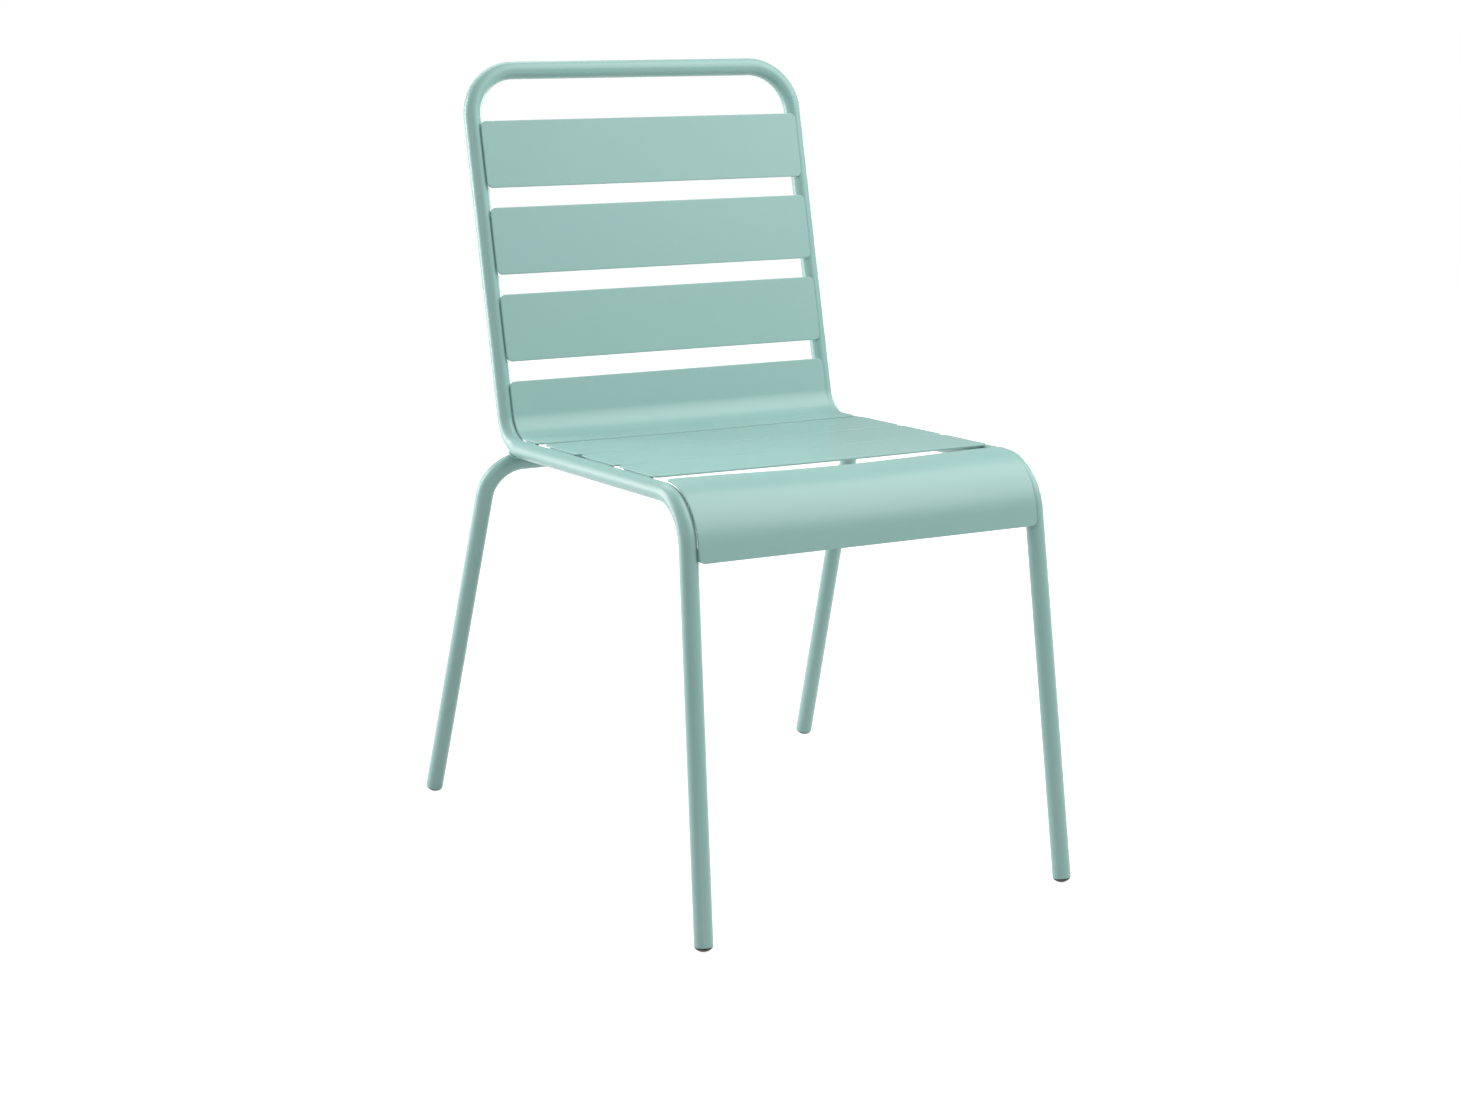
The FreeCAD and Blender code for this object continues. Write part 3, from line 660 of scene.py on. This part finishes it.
lifted = add_node(saddle_tree, "ShaderNodeCombineXYZ", {"Z": saddle_height}).outputs[0]
saddle = add_node(saddle_tree, "GeometryNodeSetPosition", {
    "Geometry": ring.outputs[0], "Offset": lifted})
turn = add_term(saddle_tree, "GeometryNodeSplineParameter", output="Factor")
ripple = (turn * saddle_ripples).math("FRACT")
uneven = add_term(saddle_tree, "ShaderNodeTexNoise", {
    "Vector": add_node(saddle_tree, "GeometryNodeInputPosition").outputs[0],
    "Scale": 210.0, "Detail": 2.0})
scale = ripple * ripple * -saddle_ripple_depth + 1.0 + (uneven - 0.5) * saddle_unevenness
section = add_node(saddle_tree, "GeometryNodeCurvePrimitiveCircle", {
    "Resolution": bead_round_steps, "Radius": given["Bead"]})
bead = add_node(saddle_tree, "GeometryNodeCurveToMesh", {
    "Curve": saddle.outputs[0], "Profile Curve": section.outputs[0], "Scale": scale})
lean = add_node(saddle_tree, "ShaderNodeCombineXYZ", {"X": given["Lean"]}).outputs[0]
turned = add_node(saddle_tree, "GeometryNodeTransform", {
    "Geometry": bead.outputs[0], "Rotation": lean})
on_spots = add_node(saddle_tree, "GeometryNodeInstanceOnPoints", {
    "Points": given["Spots"], "Instance": turned.outputs[0]})
finish_tree(saddle_tree, on_spots.outputs[0], given, result)

# The cross run has begun to bend down into the legs where it passes under the rails.
leg_fall = rear_foot - shoulder
shoulder_tangent = shoulder_bend * math.tan(leg_fall.angle(-ACROSS) / 2)
past_straight = shoulder_tangent - (shoulder_half - rail_half)
bent_down = shoulder_bend - math.sqrt(shoulder_bend ** 2 - past_straight ** 2)
leg_slope = Vector((0, leg_fall.y, leg_fall.z)).normalized()
crossing = Vector((0, shoulder.y, shoulder.z)) + leg_slope * bent_down

hip_centre = hip + (upright_up - rail_back).normalized() * (hip_bend / math.cos(hip_turn / 2))
to_rail = (hip_centre - crossing).normalized()
spots = bpy.data.meshes.new("saddle_spots")
spots.from_pydata([
    crossing + to_rail * tube_radius + ACROSS * (hand * rail_half) for hand in (-1, 1)],
    [], [])
saddles = baked("rear_leg_saddle_beads", spots, saddle_tree, coat=weld_coat,
                lean=math.atan2(-to_rail.y, to_rail.z))
installed(saddles, "rear_leg_welds")


# ---------------------------------------------------------------- foot plugs
# A moulded plug of dark polyethylene is pressed into each tube end: a ribbed stem in the
# bore, a rim on the cut end, and a shallow dome that stands on the floor and wears flat.
rim_radius = 0.0094
rim_height = 0.001
rim_corner = 0.0003
dome_height = 0.0042
dome_steps = 12
stem_radius = 0.0084
stem_core = 0.0074
stem_length = 0.022
stem_corner = 0.0005
first_rib = 0.003
rib_length = 0.002
rib_lip = 0.0004
rib_pitch = 0.0045
plug_round_steps = 64
pebble_scale = 1800.0
pebble_depth = 0.00004
scuff_scale = 260.0
scuff_dulls = 0.25
plug_black = (0.010, 0.011, 0.012)
plug_scuffed = (0.026, 0.028, 0.029)
plug_dust = (0.16, 0.16, 0.15)
plug_dust_cover = 0.20
plug_dust_height = 0.008
plug_roughness = 0.42
plug_sheen = 0.35


def moulded_plastic(name):
    """Dark plastic with a fine pebble, scuffed all over and dusty near the floor."""
    material = bpy.data.materials.new(name)
    material.use_nodes = True
    tree = material.node_tree
    shader = tree.nodes["Principled BSDF"]
    place = add_node(tree, "ShaderNodeTexCoord").outputs["Object"]
    pebble = add_term(tree, "ShaderNodeTexNoise", {
        "Vector": place, "Scale": pebble_scale, "Detail": 2.0})
    scuff = add_term(tree, "ShaderNodeTexNoise", {
        "Vector": place, "Scale": scuff_scale, "Detail": 5.0})
    dust = group_in(tree, dust_group, height=plug_dust_height)
    body = blended(tree, scuff, plug_black, plug_scuffed)
    body = blended(tree, dust["Dust"] * plug_dust_cover, body, plug_dust)
    tree.links.new(body, shader.inputs["Base Color"])
    dull = scuff * scuff_dulls + plug_roughness
    tree.links.new(dull.socket, shader.inputs["Roughness"])
    shader.inputs["Specular IOR Level"].default_value = plug_sheen
    bump = add_node(tree, "ShaderNodeBump", {"Height": pebble, "Distance": pebble_depth})
    tree.links.new(bump.outputs[0], shader.inputs["Normal"])
    return material


plug_material = moulded_plastic("plug_plastic")


def plug_outline():
    """Half of the plug's section, as (radius, height) from the dome's tip to the stem's top."""
    dome_radius = (rim_radius ** 2 + dome_height ** 2) / (2 * dome_height)
    centre = dome_radius - dome_height - rim_height
    widest = math.asin(rim_radius / dome_radius)
    outline = []
    for k in range(dome_steps + 1):
        angle = widest * k / dome_steps
        outline.append((dome_radius * math.sin(angle), centre - dome_radius * math.cos(angle)))
    outline += [(rim_radius, -rim_corner), (rim_radius - rim_corner, 0.0), (stem_core, 0.0)]
    rib = first_rib
    while rib + rib_length < stem_length:
        outline += [(stem_core, rib), (stem_radius, rib + rib_lip), (stem_core, rib + rib_length)]
        rib += rib_pitch
    return outline + [(stem_core, stem_length - stem_corner),
                      (stem_core - stem_corner, stem_length), (0.0, stem_length)]


def foot_plug(node, end, corner):
    mesh = bmesh.new()
    points = [mesh.verts.new((radius, 0, height)) for radius, height in plug_outline()]
    edges = [mesh.edges.new(pair) for pair in zip(points, points[1:])]
    bmesh.ops.spin(mesh, geom=points + edges, cent=(0, 0, 0), axis=(0, 0, 1),
                   angle=2 * math.pi, steps=plug_round_steps, use_merge=True)
    bmesh.ops.remove_doubles(mesh, verts=mesh.verts, dist=1e-6)
    bmesh.ops.recalc_face_normals(mesh, faces=mesh.faces)
    turn = (corner - end).to_track_quat("Z", "Y")
    for vertex in mesh.verts:
        vertex.co = end + turn @ vertex.co
        vertex.co.z = max(vertex.co.z, 0.0)
    for face in mesh.faces:
        face.smooth = True
    data = bpy.data.meshes.new(node + "_moulding")
    mesh.to_mesh(data)
    mesh.free()
    data.set_sharp_from_angle(angle=math.radians(50))
    data.materials.append(plug_material)
    piece = bpy.data.objects.new(node + "_moulding", data)
    bpy.context.scene.collection.objects.link(piece)
    installed(piece, node)


foot_plug("foot_plug_front_right", front_end, knee_corner)
foot_plug("foot_plug_front_left", other_side(front_end), other_side(knee_corner))
foot_plug("foot_plug_rear_right", rear_end, shoulder)
foot_plug("foot_plug_rear_left", other_side(rear_end), other_side(shoulder))


# ---------------------------------------------------------------- studio
# A pale floor without a horizon, a large soft box overhead and four smaller ones round the
# chair, with left and right as the camera sees them.  The floor is brighter where the coat
# mirrors it, which gives the tubes their bright rims.
floor_radius = 30.0
floor_grey = (0.45, 0.45, 0.45, 1)
floor_seen = 0.82
floor_in_coat = 1.1
sky_seen = 0.62
sky_light = 0.40
white = (1, 1, 1, 1)
bpy.context.scene.view_settings.view_transform = "Standard"

floor_mesh = bmesh.new()
bmesh.ops.create_circle(floor_mesh, cap_ends=True, segments=96, radius=floor_radius)
floor_data = bpy.data.meshes.new("floor")
floor_mesh.to_mesh(floor_data)
floor_mesh.free()
floor = bpy.data.objects.new("floor", floor_data)
bpy.context.scene.collection.objects.link(floor)
floor_material = bpy.data.materials.new("studio_floor")
floor_material.use_nodes = True
tree = floor_material.node_tree
shader = tree.nodes["Principled BSDF"]
shader.inputs["Base Color"].default_value = floor_grey
shader.inputs["Roughness"].default_value = 0.9
shader.inputs["Specular IOR Level"].default_value = 0.0
shader.inputs["Emission Color"].default_value = white
seen = add_term(tree, "ShaderNodeLightPath", output="Is Camera Ray")
in_coat = add_term(tree, "ShaderNodeLightPath", output="Is Glossy Ray")
glow = seen * floor_seen + in_coat * floor_in_coat
tree.links.new(glow.socket, shader.inputs["Emission Strength"])
floor_data.materials.append(floor_material)

world = bpy.data.worlds.new("studio")
bpy.context.scene.world = world
world.use_nodes = True
tree = world.node_tree
sky = tree.nodes["Background"]
seen = add_term(tree, "ShaderNodeLightPath", output="Is Camera Ray")
tree.links.new((seen * sky_seen + sky_light).socket, sky.inputs["Strength"])
sky.inputs["Color"].default_value = white


def soft_box(name, place, aim, width, height, power):
    light = bpy.data.lights.new(name, "AREA")
    light.shape = "RECTANGLE"
    light.size = width
    light.size_y = height
    light.energy = power
    holder = bpy.data.objects.new(name, light)
    holder.location = place
    holder.rotation_mode = "QUATERNION"
    holder.rotation_quaternion = (Vector(place) - Vector(aim)).to_track_quat("Z", "Y")
    holder.visible_camera = False
    bpy.context.scene.collection.objects.link(holder)


soft_box("overhead", (1.4, -0.9, 2.4), (0, 0, 0.5), 2.8, 2.8, 78)
soft_box("left_back", (-1.9, 1.9, 1.0), (0, 0, 0.5), 1.0, 2.0, 66)
soft_box("left_front", (-2.4, -1.2, 1.6), (0, 0, 0.6), 1.2, 1.0, 12)
soft_box("top_back", (0, 1.7, 2.4), (0, 0, 0.5), 2.0, 1.0, 18)
soft_box("right_back", (2.3, 1.2, 0.4), (0, 0, 0.3), 0.6, 1.2, 26)
